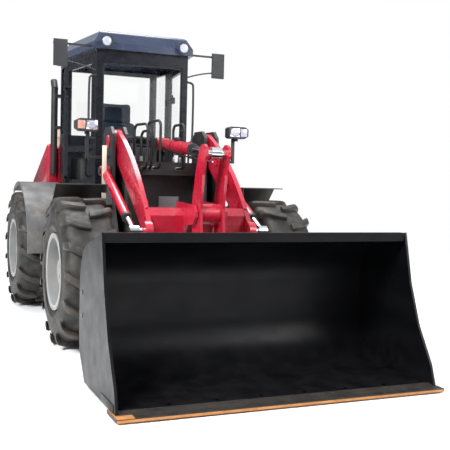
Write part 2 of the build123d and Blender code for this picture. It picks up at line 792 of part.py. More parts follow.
def door(side):
    """Door frame with its two window openings, hinged at its rear edge."""
    y0 = cab_y + door_front + door_gap
    y1 = cab_y + cab_door_back - door_back - door_gap
    z0 = cab_floor_z + door_low + door_gap
    z1 = cab_top_z - door_head - door_gap
    body = door_panel(side, y0, y1, z0, z1, 0, 32)
    body -= door_panel(side, y0 + 45, y1 - 45, 1560, z1 - 50, -20, 80)
    body -= door_panel(side, y0 + 45, y1 - 45, z0 + 60, 1510, -20, 80)
    y = y0 + 22
    grip_z = (1280, 1520)
    slope = (cab_door_half - cab_front_half) / cab_door_back
    x = cab_front_half + slope * (y - cab_y)
    handle = rod_z(9, grip_z[0], grip_z[1], x + 48, y)
    for z in grip_z:
        handle += rod_x(9, x - 6, x + 48, (y, z))
    if side < 0:
        handle = mirror(handle, about=Plane.YZ)
    return body + handle + door_hinge(side, True)


def door_glass(side):
    y0 = cab_y + door_front + door_gap + 45 + face_gap
    y1 = cab_y + cab_door_back - door_back - door_gap - 45 - face_gap
    z0 = cab_floor_z + door_low + door_gap + 60 + face_gap
    z1 = cab_top_z - door_head - door_gap - 50 - face_gap
    upper = door_panel(side, y0, y1, 1560 + face_gap, z1, 12, glass_wall)
    lower = door_panel(side, y0, y1, z0, 1510 - face_gap, 12, glass_wall)
    return upper + lower


def seat():
    y = cab_y + 720
    floor = cab_floor_z + cab_wall
    base = block(-170, 170, y - 190, y + 190, floor, floor + 280)
    return base


def seat_cushions():
    y = cab_y + 720
    top = cab_floor_z + cab_wall + 280 + face_gap
    squab = block(-235, 235, y - 250, y + 200, top, top + 130)
    back = block(-230, 230, y + 200.5, y + 320, top + 20, top + 640)
    head = block(-130, 130, y + 210, y + 300, top + 640.3, top + 820)
    return squab + back + head


def console():
    """Steering column with its wheel and the floor console under the windscreen."""
    floor = cab_floor_z + cab_wall
    y = cab_y + 150
    body = block(-110, 110, y - 60, y + 60, floor, floor + 260)
    lean = 20
    column = 430
    column_foot = Pos(0, y, floor + 240) * Rot(-lean, 0, 0)
    body += column_foot * Pos(0, 0, column / 2) * Cylinder(42, column)
    body += column_foot * Pos(0, 0, column) * Torus(180, 14)
    body += column_foot * Pos(0, 0, column) * Box(360, 34, 14)
    return body


def hood_line(y):
    """Height of the hood's top at a place along the machine."""
    share = (y - hood_y) / hood_length
    return hood_front_z + (hood_rear_z - hood_front_z) * share


def rounded_top(body, radius):
    """The hood's block with its two long top edges rounded."""
    top = [e for e in body.edges() if abs(e.tangent_at(0.5).X) < 0.01 and e.length > 900
           and e.center().Z > hood_rear_z]
    return fillet(top, radius)


def hood():
    y0 = hood_y
    y1 = y0 + hood_length
    outer = [(y0, hood_low_z), (y0, hood_front_z), (y1 - 60, hood_line(y1 - 60)), (y1, hood_rear_z - 70),
             (y1, hood_low_z)]
    inner = [(y0 - 1, hood_low_z - 1), (y0 - 1, hood_front_z - hood_wall),
             (y1 - 60, hood_line(y1 - 60) - hood_wall), (y1 - hood_wall, hood_rear_z - 72),
             (y1 - hood_wall, hood_low_z - 1)]
    body = plate(outer, -hood_half, hood_half)
    body = rounded_top(body, hood_edge_radius)
    hollow = plate(inner, -hood_half + hood_wall, hood_half - hood_wall)
    body -= rounded_top(hollow, hood_edge_radius - hood_wall)
    for i in range(grille_slots):
        z = hood_low_z + 25 + i * 2 * grille_slot
        body -= block(-grille_half, grille_half, y1 - 15, y1 + 1, z, z + grille_slot)
        for y in (y0 + 130, y0 + 430, y0 + 730):
            body -= block(-hood_half - 1, hood_half + 1, y, y + 220, z, z + grille_slot)
    knuckle = block(290 + face_gap, 320 - face_gap, y0 + 3, y0 + 27, hood_hinge_z - 12,
                    hood_front_z - hood_wall - 4)
    body += both(knuckle)
    body -= both(rod_x(8 + run_gap, 280, 330, (y0 + 15, hood_hinge_z)))
    return body


def engine():
    y = rear_y + 330
    half = chassis_half + 20 - face_gap
    return block(-half, half, y, y + 620, 640, 1250)


def rear_fender(side):
    """Rounded guard over a rear wheel."""
    r = tyre_radius + fender_gap
    c = (rear_y, axle_z)

    def at(angle, radius):
        a = math.radians(angle)
        return (c[0] + radius * math.cos(a), c[1] + radius * math.sin(a))

    outer = ThreePointArc(at(180, r + fender_wall), at(120, r + fender_wall), at(60, r + fender_wall))
    inner = ThreePointArc(at(180, r), at(120, r), at(60, r))
    ends = [Line(at(180, r + fender_wall), at(180, r)), Line(at(60, r + fender_wall), at(60, r))]
    guard = shape_plate([outer, inner] + ends, fender_inner_x, fender_outer_x)
    lip_out = ThreePointArc(at(180, r), at(120, r), at(60, r))
    lip_in = ThreePointArc(at(180, r - 25), at(120, r - 25), at(60, r - 25))
    ends = [Line(at(180, r), at(180, r - 25)), Line(at(60, r), at(60, r - 25))]
    guard += shape_plate([lip_out, lip_in] + ends, fender_outer_x - fender_wall, fender_outer_x)
    z = r + axle_z
    guard += block(chassis_half + 45 + face_gap, fender_inner_x + 5, rear_y - 250, rear_y - 200,
                   cab_floor_z - 120, cab_floor_z - 70)
    web = [(rear_y - 250, cab_floor_z - 120), (rear_y - 200, cab_floor_z - 120),
           (rear_y - 200, z - 30), (rear_y - 250, z - 45)]
    guard += plate(web, fender_inner_x - 5, fender_inner_x + 5)
    if side < 0:
        guard = mirror(guard, about=Plane.YZ)
    return guard


def steps(side):
    """Two treads below the door on a bracket from the chassis."""
    y0 = pivot_y + 105
    y1 = y0 + 190
    half = chassis_half + 45 + face_gap
    body = block(fender_inner_x, 840, y0, y1, 470, 495)
    body += block(fender_inner_x, 800, y0, y1, 720, 745)
    body += block(fender_inner_x, fender_inner_x + 10, y0, y1, 470, 800)
    body += block(half, fender_inner_x + 5, y1 + 60, y1 + 90, 700, 800)
    body += block(fender_inner_x, fender_inner_x + 10, y0, y1 + 90, 700, 800)
    if side < 0:
        body = mirror(body, about=Plane.YZ)
    return body


def exhaust():
    x = -hood_half - 45
    y = cab_y + cab_depth + 90
    body = rod_z(34, 1300, 2180, x, y)
    body += Pos(x, y + 20, 2215) * Rot(-35, 0, 0) * Cylinder(34, 110)
    for z in (1760, 2080):
        body += block(x, -cab_rear_half + 20, cab_y + cab_depth + face_gap, y, z, z + 30)
    return body


def air_intake():
    x = -hood_half + 70
    y = hood_y + 500
    body = rod_z(40, hood_line(y) - 30, 1700, x, y)
    body -= plate([(hood_y, 0), (hood_y, hood_front_z + face_gap),
                   (hood_y + hood_length, hood_rear_z + face_gap), (hood_y + hood_length, 0)],
                  -hood_half, hood_half)
    body += rod_z(58, 1700, 1800, x, y)
    return body


def mirrors():
    y = cab_y + 60
    z = cab_top_z
    start = cab_front_half + roof_overhang + 14
    one = block(start, 800, y - 8, y + 8, z + 20, z + 36)
    one += block(680, 800, y - 30, y - 8, z - 170, z + 60)
    return both(one)


def roof_lamps():
    y = cab_y - roof_overhang + 16
    lamp = Rot(90, 0, 0) * Cylinder(roof_lamp_radius, 54)
    dome = Pos(0, -27, 0) * scale(Sphere(roof_lamp_radius), by=(1, 0.25, 1))
    return both(Pos(roof_lamp_x, y - 27, cab_top_z + roof_lamp_rise) * (lamp + dome))


def tail_lamps():
    y = rear_end - 30 + face_gap
    return both(block(300, 420, y, y + 25, 900, 960))


# Steering cylinder, lying flat beside the centre hinge

def steer_piece(piece):
    x0 = steer_base[0]
    y0 = pivot_y + steer_base[1]
    dx = steer_eye[0] - steer_base[0]
    dy = steer_eye[1] - steer_base[1]
    angle = math.degrees(math.atan2(dx, -dy))
    return Pos(x0, y0, steer_z) * Rot(0, 0, angle) * Rot(0, 90, 0) * piece


def steer_frame_brackets():
    """Plates that hold the steering cylinder on both frames, as front and rear pieces."""
    x = steer_base[0]
    front = Part() + block(x - 50, x + 50, pivot_y - 351, pivot_y + steer_eye[1] + 38,
                           steer_z + steer_fork, steer_z + steer_fork + 12)
    front += block(x - 50, x + 50, pivot_y - 351, pivot_y + steer_eye[1] + 38,
                   steer_z - steer_fork - 12, steer_z - steer_fork)
    return front


def steer_barrel():
    return steer_piece(cylinder_barrel(steer_length * 0.7, 30, 16, steer_fork - move_gap))


def steer_rod():
    return steer_piece(cylinder_rod(steer_length, 197, 16, 22.9, steer_fork - move_gap,
                                    face_gap - steer_fork, steer_fork - face_gap))


steer_length = math.dist(steer_base, steer_eye)


def rear_frame_with_steering():
    body = rear_frame()
    x = steer_base[0]
    y = pivot_y + steer_base[1]
    body -= block(x - 75, x + 65, pivot_y + 225, pivot_y + 260, steer_z - 60, steer_z + 60)
    for z0 in (steer_z + steer_fork, steer_z - steer_fork - 12):
        body += block(x - 45, chassis_half + 22, y - 32, y + 60, z0, z0 + 12)
    body += block(x - 45, chassis_half + 22, y + 45, y + 60, steer_z - steer_fork - 12, steer_z + steer_fork + 12)
    body += rod_z(cylinder_pin_radius, steer_z - steer_fork - 12, steer_z + steer_fork + 12, x, y)
    return body


parts = {
    "front_frame": front_frame() + steer_frame_brackets(),
    "tower": tower(),
    "front_axle": axle(front_y, chassis_half - 10, axle_z + axle_notch_height),
    "front_fender_right": front_fender(-1),
    "front_fender_left": front_fender(1),
    "headlamp_posts": headlamp_posts(),
    "headlamps": headlamps(),
    "hydraulic_hoses": hydraulic_hoses(),
    "boom": boom(),
    "bellcrank": bellcrank(),
    "tilt_link": tilt_link(),
    "tilt_barrel": tilt_barrel(),
    "tilt_rod": tilt_rod(),
    "lift_barrels": lift_barrels(),
    "lift_rods": lift_rods(),
    "steer_barrel": steer_barrel(),
    "steer_rod": steer_rod(),
    "bucket": bucket_shell(),
    "cutting_edge": cutting_edge(),
    "quick_hitch": quick_hitch(),
    "rear_frame": rear_frame_with_steering(),
    "rear_axle": axle(rear_y, chassis_half + 35, axle_z + axle_notch_height),
    "counterweight": counterweight(),
    "engine": engine(),
    "hood": hood(),
    "rear_fender_right": rear_fender(-1),
    "rear_fender_left": rear_fender(1),
    "steps_right": steps(-1),
    "steps_left": steps(1),
    "exhaust": exhaust(),
    "air_intake": air_intake(),
    "cab_tub": cab_tub(),
    "cab_frame": cab_frame(),
    "cab_roof": cab_roof(),
    "windscreen": windscreen(),
    "rear_windows": rear_glass(),
    "seat_base": seat(),
    "seat_cushions": seat_cushions(),
    "steering_column": console(),
    "mirrors": mirrors(),
    "roof_lamps": roof_lamps(),
    "tail_lamps": tail_lamps(),
    "door_right": door(-1),
    "door_left": door(1),
    "door_glass_right": door_glass(-1),
    "door_glass_left": door_glass(1),
}

tyre_piece = tyre()
rim_piece = rim()
for end, axle_y in (("front", front_y), ("rear", rear_y)):
    for side, sign in (("right", -1), ("left", 1)):
        parts[f"tyre_{end}_{side}"] = placed(tyre_piece, sign, axle_y)
        parts[f"rim_{end}_{side}"] = placed(rim_piece, sign, axle_y)

os.makedirs("parts", exist_ok=True)
for name, piece in parts.items():
    export_step(Part() + piece if isinstance(piece, list) else piece, f"parts/{name}.step")
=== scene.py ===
import math

import bpy
from mathutils import Matrix, Vector


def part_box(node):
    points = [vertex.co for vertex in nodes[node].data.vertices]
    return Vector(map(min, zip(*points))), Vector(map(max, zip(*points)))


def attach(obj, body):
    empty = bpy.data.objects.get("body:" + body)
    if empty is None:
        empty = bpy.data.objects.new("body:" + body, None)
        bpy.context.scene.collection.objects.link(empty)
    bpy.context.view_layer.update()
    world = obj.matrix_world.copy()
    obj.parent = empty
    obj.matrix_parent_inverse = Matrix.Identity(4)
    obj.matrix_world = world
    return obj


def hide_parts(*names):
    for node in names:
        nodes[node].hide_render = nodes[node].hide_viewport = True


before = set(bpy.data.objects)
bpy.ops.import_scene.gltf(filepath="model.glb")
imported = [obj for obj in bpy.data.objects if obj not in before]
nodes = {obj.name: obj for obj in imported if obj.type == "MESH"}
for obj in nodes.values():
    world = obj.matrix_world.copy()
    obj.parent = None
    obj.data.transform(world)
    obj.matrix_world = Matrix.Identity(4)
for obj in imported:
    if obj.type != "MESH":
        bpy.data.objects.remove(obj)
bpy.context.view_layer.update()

# Driving sizes in metres, as the model has them
FRONT_AXLE_Y = -0.6945
REAR_AXLE_Y = 1.4155
AXLE_Z = 0.557
WHEEL_X = 0.791
BOOM_PIVOT = Vector((0, -0.2445, 1.560))
CRANK_TOP = Vector((0, -1.4295, 1.450))
LIFT_BASE = Vector((0, -0.3145, 1.320))
LIFT_EYE = Vector((0, -1.1645, 0.890))
BUCKET_PIN = Vector((0, -1.5745, 0.300))
ARM_OUTER_X = 0.410
ARM_INNER_X = 0.375
RAIL_Y = 0.345

# Camera of the photograph
CAMERA_PLACE = (-2.0667, -6.4763, 1.2328)
CAMERA_YAW = 23.11
CAMERA_PITCH = -2.96
CAMERA_ROLL = 1.48
FOCAL_PIXELS = 777.6
PICTURE_PIXELS = 450
SENSOR = 36.0


def make_camera():
    yaw, pitch, roll = (math.radians(a) for a in (CAMERA_YAW, CAMERA_PITCH, CAMERA_ROLL))
    forward = Vector((math.sin(yaw) * math.cos(pitch), math.cos(yaw) * math.cos(pitch), math.sin(pitch)))
    right = Vector((math.cos(yaw), -math.sin(yaw), 0))
    up = right.cross(forward)
    axis_x = right * math.cos(roll) + up * math.sin(roll)
    axis_y = up * math.cos(roll) - right * math.sin(roll)
    turn = Matrix((axis_x, axis_y, -forward)).transposed()
    data = bpy.data.cameras.new("camera")
    data.lens = FOCAL_PIXELS / PICTURE_PIXELS * SENSOR
    data.sensor_width = SENSOR
    camera = bpy.data.objects.new("camera", data)
    camera.matrix_world = Matrix.Translation(CAMERA_PLACE) @ turn.to_4x4()
    bpy.context.scene.collection.objects.link(camera)
    bpy.context.scene.camera = camera


# Surface materials

def noise(tree, scale, detail=4.0, rough=0.55, stretch=None):
    """Noise on the object's own coordinates."""
    coords = tree.nodes.new("ShaderNodeTexCoord")
    out = coords.outputs["Object"]
    if stretch:
        mapping = tree.nodes.new("ShaderNodeMapping")
        mapping.inputs["Scale"].default_value = stretch
        tree.links.new(out, mapping.inputs["Vector"])
        out = mapping.outputs["Vector"]
    node = tree.nodes.new("ShaderNodeTexNoise")
    node.inputs["Scale"].default_value = scale
    node.inputs["Detail"].default_value = detail
    node.inputs["Roughness"].default_value = rough
    tree.links.new(out, node.inputs["Vector"])
    return node.outputs["Fac"]


def spread(tree, value, low, high, out_low, out_high):
    node = tree.nodes.new("ShaderNodeMapRange")
    for name, number in (("From Min", low), ("From Max", high), ("To Min", out_low), ("To Max", out_high)):
        node.inputs[name].default_value = number
    tree.links.new(value, node.inputs["Value"])
    return node.outputs["Result"]


def blend_colours(tree, share, first, second):
    node = tree.nodes.new("ShaderNodeMix")
    node.data_type = "RGBA"
    for slot, colour in ((6, first), (7, second)):
        if isinstance(colour, tuple):
            node.inputs[slot].default_value = (*colour, 1)
        else:
            tree.links.new(colour, node.inputs[slot])
    tree.links.new(share, node.inputs[0])
    return node.outputs[2]


def height_share(tree, low, high):
    """1 below low, 0 above high, by height over the ground."""
    coords = tree.nodes.new("ShaderNodeTexCoord")
    split = tree.nodes.new("ShaderNodeSeparateXYZ")
    tree.links.new(coords.outputs["Object"], split.inputs[0])
    return spread(tree, split.outputs["Z"], low, high, 1.0, 0.0)


def multiply(tree, a, b):
    node = tree.nodes.new("ShaderNodeMath")
    node.operation = "MULTIPLY"
    node.use_clamp = True
    tree.links.new(a, node.inputs[0])
    if isinstance(b, float):
        node.inputs[1].default_value = b
    else:
        tree.links.new(b, node.inputs[1])
    return node.outputs[0]


def surface(name, colour, second, rough=(0.3, 0.45), metallic=0.0, coat=0.0, scale=5.0,
            grain=240.0, bump=0.0006, stretch=None, dust=None, dust_height=None, dust_amount=0.5,
            spots=None, spot_scale=30.0, spot_limit=0.62, gloss=0.5):
    """Painted, rubber, plastic or metal surface with mottling, grain, dust and worn spots."""
    material = bpy.data.materials.new(name)
    material.use_nodes = True
    tree = material.node_tree
    shader = tree.nodes["Principled BSDF"]
    mottle = spread(tree, noise(tree, scale, stretch=stretch), 0.35, 0.68, 0.0, 1.0)
    result = blend_colours(tree, mottle, colour, second)
    rough_value = spread(tree, noise(tree, scale * 3.1), 0.3, 0.7, rough[0], rough[1])
    if spots:
        worn = spread(tree, noise(tree, spot_scale, 8.0, 0.65, stretch), spot_limit, spot_limit + 0.05,
                      0.0, 1.0)
        result = blend_colours(tree, worn, result, spots)
    if dust:
        cover = spread(tree, noise(tree, 9.0, 8.0, 0.6), 0.4, 0.66, 0.0, dust_amount)
        if dust_height:
            cover = multiply(tree, cover, height_share(tree, *dust_height))
        result = blend_colours(tree, cover, result, dust)
    tree.links.new(result, shader.inputs["Base Color"])
    tree.links.new(rough_value, shader.inputs["Roughness"])
    shader.inputs["Metallic"].default_value = metallic
    shader.inputs["Coat Weight"].default_value = coat
    shader.inputs["Coat Roughness"].default_value = 0.08
    shader.inputs["Specular IOR Level"].default_value = gloss
    relief = tree.nodes.new("ShaderNodeBump")
    relief.inputs["Strength"].default_value = 0.6
    relief.inputs["Distance"].default_value = bump
    tree.links.new(noise(tree, grain, 3.0), relief.inputs["Height"])
    tree.links.new(relief.outputs["Normal"], shader.inputs["Normal"])
    return material


def glass(name, tint, clear, rough=0.02):
    material = bpy.data.materials.new(name)
    material.use_nodes = True
    tree = material.node_tree
    shader = tree.nodes["Principled BSDF"]
    smear = spread(tree, noise(tree, 4.0), 0.35, 0.7, 0.0, 1.0)
    tree.links.new(blend_colours(tree, smear, tint, tuple(c * 0.9 for c in tint)),
                   shader.inputs["Base Color"])
    shader.inputs["Roughness"].default_value = rough
    shader.inputs["Transmission Weight"].default_value = 1.0
    shader.inputs["IOR"].default_value = 1.3
    shader.inputs["Alpha"].default_value = clear
    return material


DUST = (0.36, 0.31, 0.25)
M = {
    "boom_red": surface("boom_red", (0.40, 0.006, 0.025), (0.50, 0.012, 0.04), (0.22, 0.34), coat=0.7,
                        dust=DUST, dust_height=(0.3, 1.1), dust_amount=0.25),
    "body_red": surface("body_red", (0.36, 0.006, 0.022), (0.44, 0.01, 0.035), (0.2, 0.3), coat=0.8,
                        dust=DUST, dust_height=(0.9, 1.3), dust_amount=0.2),
    "frame_grey": surface("frame_grey", (0.20, 0.23, 0.215), (0.28, 0.31, 0.29), (0.42, 0.6),
                          dust=DUST, dust_height=(0.2, 1.0), dust_amount=0.5),
    "cab_dark": surface("cab_dark", (0.005, 0.006, 0.009), (0.009, 0.010, 0.014), (0.22, 0.34),
                        coat=0.1, gloss=0.25),
    "roof_dark": surface("roof_dark", (0.022, 0.032, 0.065), (0.03, 0.042, 0.08), (0.2, 0.3), coat=0.4),
    "black_steel": surface("black_steel", (0.012, 0.012, 0.014), (0.028, 0.027, 0.027), (0.35, 0.5),
                           dust=DUST, dust_height=(0.2, 1.3), dust_amount=0.3),
    "fender_brown": surface("fender_brown", (0.02, 0.017, 0.016), (0.05, 0.042, 0.038), (0.4, 0.55)),
    "bucket_black": surface("bucket_black", (0.002, 0.0022, 0.003), (0.005, 0.005, 0.006), (0.3, 0.42),
                            gloss=0.16,
                            stretch=(1.0, 1.0, 3.0), scale=2.2, grain=90.0, bump=0.0008,
                            spots=(0.018, 0.016, 0.015), spot_scale=7.0, spot_limit=0.68,
                            dust=(0.02, 0.018, 0.017), dust_height=(0.02, 0.4), dust_amount=0.3),
    "edge_steel": surface("edge_steel", (0.012, 0.011, 0.010), (0.03, 0.024, 0.02), (0.4, 0.6),
                          scale=14.0, grain=160.0, bump=0.0012, spots=(0.10, 0.055, 0.03), spot_scale=22.0),
    "edge_worn": surface("edge_worn", (0.35, 0.13, 0.03), (0.45, 0.2, 0.06), (0.5, 0.7), scale=20.0),
    "bolt_steel": surface("bolt_steel", (0.5, 0.5, 0.5), (0.62, 0.62, 0.62), (0.25, 0.4), metallic=0.9),
    "rim_grey": surface("rim_grey", (0.24, 0.25, 0.25), (0.33, 0.34, 0.34), (0.32, 0.45), metallic=0.3,
                        dust=DUST, dust_amount=0.35),
    "tyre_rubber": surface("tyre_rubber", (0.006, 0.006, 0.006), (0.014, 0.013, 0.012), (0.5, 0.7),
                           scale=9.0,
                           grain=130.0, bump=0.0018, dust=(0.20, 0.165, 0.125), dust_amount=0.16),
    "lug_rubber": surface("lug_rubber", (0.007, 0.007, 0.007), (0.018, 0.016, 0.014), (0.45, 0.65),
                          scale=11.0,
                          grain=130.0, bump=0.0016, dust=(0.26, 0.21, 0.16), dust_amount=0.18),
    "chrome_rod": surface("chrome_rod", (0.75, 0.76, 0.78), (0.82, 0.82, 0.83), (0.07, 0.13),
                          metallic=1.0, bump=0.0001),
    "seat_cloth": surface("seat_cloth", (0.003, 0.009, 0.022), (0.006, 0.016, 0.034), (0.8, 0.95),
                          scale=60.0,
                          grain=900.0, bump=0.001),
    "dark_plastic": surface("dark_plastic", (0.015, 0.015, 0.017), (0.026, 0.026, 0.03), (0.45, 0.6),
                            grain=600.0),
    "hose_rubber": surface("hose_rubber", (0.008, 0.008, 0.009), (0.02, 0.02, 0.02), (0.45, 0.6),
                           grain=500.0),
    "fender_grey": surface("fender_grey", (0.07, 0.07, 0.075), (0.11, 0.11, 0.115), (0.4, 0.55),
                           dust=DUST, dust_amount=0.3),
    "engine_iron": surface("engine_iron", (0.03, 0.03, 0.03), (0.07, 0.065, 0.06), (0.55, 0.75),
                           metallic=0.3),
    "cream": surface("cream", (0.62, 0.58, 0.46), (0.7, 0.66, 0.54), (0.35, 0.45), coat=0.3),
    "red_plastic": surface("red_plastic", (0.35, 0.01, 0.01), (0.45, 0.02, 0.02), (0.2, 0.3), coat=0.5),
    "lamp_white": surface("lamp_white", (0.30, 0.31, 0.38), (0.52, 0.54, 0.62), (0.1, 0.2), coat=1.0,
                          bump=0.0001),
    "lamp_amber": surface("lamp_amber", (0.45, 0.20, 0.15), (0.55, 0.30, 0.24), (0.15, 0.25), coat=1.0,
                          bump=0.0001),
    "lamp_chrome": surface("lamp_chrome", (0.7, 0.72, 0.74), (0.8, 0.82, 0.84), (0.08, 0.15), metallic=1.0),
    "panel_grey": surface("panel_grey", (0.30, 0.28, 0.31), (0.36, 0.34, 0.37), (0.35, 0.5)),
    "window": glass("window", (0.82, 0.90, 0.90), 0.05),
}


# Modelling helpers: everything is added at its size and place, then shaped and finished

def take(name, material, body):
    """Names the active object, puts its place into its mesh, paints it and lets it ride."""
    piece = bpy.context.object
    bpy.ops.object.transform_apply(location=True, rotation=True, scale=True)
    piece.name = name
    piece.data.name = name
    piece.data.materials.clear()
    piece.data.materials.append(M[material])
    if body:
        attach(piece, body)
    return piece


def bevel(piece, width, segments=2, angle=35):
    bpy.context.view_layer.objects.active = piece
    cut = piece.modifiers.new("bevel", "BEVEL")
    cut.width = width
    cut.segments = segments
    cut.limit_method = "ANGLE"
    cut.angle_limit = math.radians(angle)
    bpy.ops.object.modifier_apply(modifier=cut.name)
    bpy.ops.object.select_all(action="DESELECT")
    piece.select_set(True)
    bpy.ops.object.shade_smooth_by_angle(angle=math.radians(40))
    return piece


def start():
    if bpy.context.object and bpy.context.object.mode != "OBJECT":
        bpy.ops.object.mode_set(mode="OBJECT")
    bpy.ops.object.select_all(action="DESELECT")


def bar(name, low, high, material, body, edge=0.004):
    """Block between two corners with eased edges."""
    start()
    low, high = Vector(low), Vector(high)
    bpy.ops.mesh.primitive_cube_add(size=1, location=(low + high) / 2)
    bpy.context.object.scale = high - low
    piece = take(name, material, None)
    bevel(piece, edge)
    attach(piece, body)
    return piece


def drum(name, centre, axis, radius, depth, material, body, edge=0.003, sides=32):
    """Disc or short bar along an axis, with its edges eased."""
    start()
    turn = Vector((0, 0, 1)).rotation_difference(Vector(axis)).to_euler()
    bpy.ops.mesh.primitive_cylinder_add(vertices=sides, radius=radius, depth=depth, location=centre,
                                        rotation=turn)
    piece = take(name, material, None)
    bevel(piece, edge)
    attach(piece, body)
    return piece


def collar(name, centre, axis, outer, inner, depth, material, body):
    """Open ring around a rod or a barrel: a wall given its thickness inwards."""
    start()
    turn = Vector((0, 0, 1)).rotation_difference(Vector(axis)).to_euler()
    bpy.ops.mesh.primitive_cylinder_add(vertices=40, radius=outer, depth=depth, end_fill_type="NOTHING",
                                        location=centre, rotation=turn)
    piece = take(name, material, None)
    wall = piece.modifiers.new("wall", "SOLIDIFY")
    wall.thickness = outer - inner
    wall.offset = -1
    bpy.ops.object.modifier_apply(modifier=wall.name)
    bevel(piece, 0.001)
    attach(piece, body)
    return piece


def lathe(name, profile, centre, material, body, steps=48, angle=30):
    """Turned piece about X: the profile, as points of x and radius, is extruded and spun."""
    start()
    bpy.ops.mesh.primitive_plane_add(size=0.01, location=(0, 0, 0))
    bpy.ops.object.mode_set(mode="EDIT")
    bpy.ops.mesh.select_all(action="SELECT")
    bpy.ops.mesh.merge(type="CENTER")
    x, radius = profile[0]
    bpy.ops.transform.translate(value=(x, 0, radius))
    for (x0, r0), (x1, r1) in zip(profile, profile[1:]):
        bpy.ops.mesh.extrude_vertices_move(TRANSFORM_OT_translate={"value": (x1 - x0, 0, r1 - r0)})
    bpy.ops.mesh.select_all(action="SELECT")
    bpy.ops.mesh.spin(steps=steps, angle=math.tau, center=(0, 0, 0), axis=(1, 0, 0))
    bpy.ops.mesh.select_all(action="SELECT")
    bpy.ops.mesh.remove_doubles(threshold=0.0002)
    bpy.ops.mesh.normals_make_consistent(inside=False)
    bpy.ops.transform.translate(value=centre)
    bpy.ops.object.mode_set(mode="OBJECT")
    piece = take(name, material, None)
    bpy.ops.object.shade_smooth_by_angle(angle=math.radians(angle))
    if body:
        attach(piece, body)
    return piece


def tube(name, points, radius, material, body):
    """Bent round tube or hose through control points."""
    start()
    bpy.ops.curve.primitive_nurbs_path_add()
    curve = bpy.context.object.data
    line = curve.splines[0]
    line.points.add(max(0, len(points) - len(line.points)))
    while len(line.points) > len(points):
        points = points + [points[-1]]
    for point, place in zip(line.points, points):
        point.co = (*place, 1)
    line.order_u = 3
    line.use_endpoint_u = True
    curve.bevel_depth = radius
    curve.bevel_resolution = 3
    curve.use_fill_caps = True
    bpy.ops.object.convert(target="MESH")
    piece = take(name, material, None)
    bpy.ops.object.shade_smooth_by_angle(angle=math.radians(50))
    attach(piece, body)
    return piece


def joined(name, pieces, body=None):
    start()
    for piece in pieces:
        piece.select_set(True)
    bpy.context.view_layer.objects.active = pieces[0]
    bpy.ops.object.join()
    piece = bpy.context.object
    piece.name = name
    if body:
        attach(piece, body)
    return piece


def copied(piece, matrix, name):
    """A copy with its own mesh, moved by a matrix in its mesh."""
    other = piece.copy()
    other.data = piece.data.copy()
    other.data.transform(matrix)
    if matrix.determinant() < 0:
        other.data.flip_normals()
    other.name = name
    bpy.context.scene.collection.objects.link(other)
    return other


# Tyres: carcass with beads and rings on the sidewall, and curved lugs

LUG_PAIRS = 15
LUG_STATIONS = [
    (0.004, -0.003, 0.557, 0.506, 0.056), (0.035, 0.001, 0.557, 0.506, 0.058),
    (0.070, 0.010, 0.5565, 0.506, 0.060),
    (0.105, 0.026, 0.555, 0.504, 0.058), (0.140, 0.047, 0.5515, 0.500, 0.056),
    (0.170, 0.066, 0.543, 0.485, 0.054),
    (0.190, 0.079, 0.520, 0.462, 0.052), (0.1985, 0.086, 0.488, 0.452, 0.048),
]


def make_lug():
    """One lug, extruded from the middle of the tread out over the shoulder."""
    start()
    x, y, top, low, width = LUG_STATIONS[0]
    bpy.ops.mesh.primitive_plane_add(size=1, location=(x, y, (top + low) / 2), rotation=(0, math.pi / 2, 0))
    bpy.context.object.scale = (top - low, width, 1)
    piece = take("lug", "lug_rubber", None)
    bpy.ops.object.mode_set(mode="EDIT")
    bpy.ops.mesh.select_all(action="SELECT")
    for a, b in zip(LUG_STATIONS, LUG_STATIONS[1:]):
        step = (b[0] - a[0], b[1] - a[1], (b[2] + b[3] - a[2] - a[3]) / 2)
        bpy.ops.mesh.extrude_region_move(TRANSFORM_OT_translate={"value": step})
        place = (b[0], b[1], (b[2] + b[3]) / 2)
        grow = (1, b[4] / a[4], (b[2] - b[3]) / (a[2] - a[3]))
        bpy.ops.transform.resize(value=grow, center_override=place)
    bpy.ops.mesh.select_all(action="SELECT")
    bpy.ops.mesh.normals_make_consistent(inside=False)
    bpy.ops.object.mode_set(mode="OBJECT")
    bevel(piece, 0.006, 2, 30)
    return piece


def make_tyre():
    ring = [(0.150, 0.290), (0.172, 0.292), (0.178, 0.302), (0.186, 0.318), (0.188, 0.326), (0.193, 0.330),
            (0.194, 0.352), (0.190, 0.358), (0.1915, 0.39), (0.190, 0.42), (0.186, 0.45), (0.178, 0.478),
            (0.165, 0.502), (0.145, 0.515), (0.10, 0.521), (0.05, 0.523)]
    profile = [(-0.150, 0.290)] + [(-x, r) for x, r in ring[1:]] + [(0.0, 0.523)] + ring[::-1]
    carcass = lathe("carcass", profile, (0, 0, 0), "tyre_rubber", None, steps=90, angle=50)
    lug = make_lug()
    flip = Matrix.Scale(-1, 4, Vector((1, 0, 0)))
    lugs = []
    for i in range(LUG_PAIRS):
        turn = Matrix.Rotation(math.tau * i / LUG_PAIRS, 4, "X")
        half = Matrix.Rotation(math.pi / LUG_PAIRS, 4, "X")
        lugs.append(copied(lug, turn, f"lug_a_{i}"))
        lugs.append(copied(lug, turn @ half @ flip, f"lug_b_{i}"))
    bpy.data.objects.remove(lug)
    return joined("tyre_model", [carcass] + lugs)


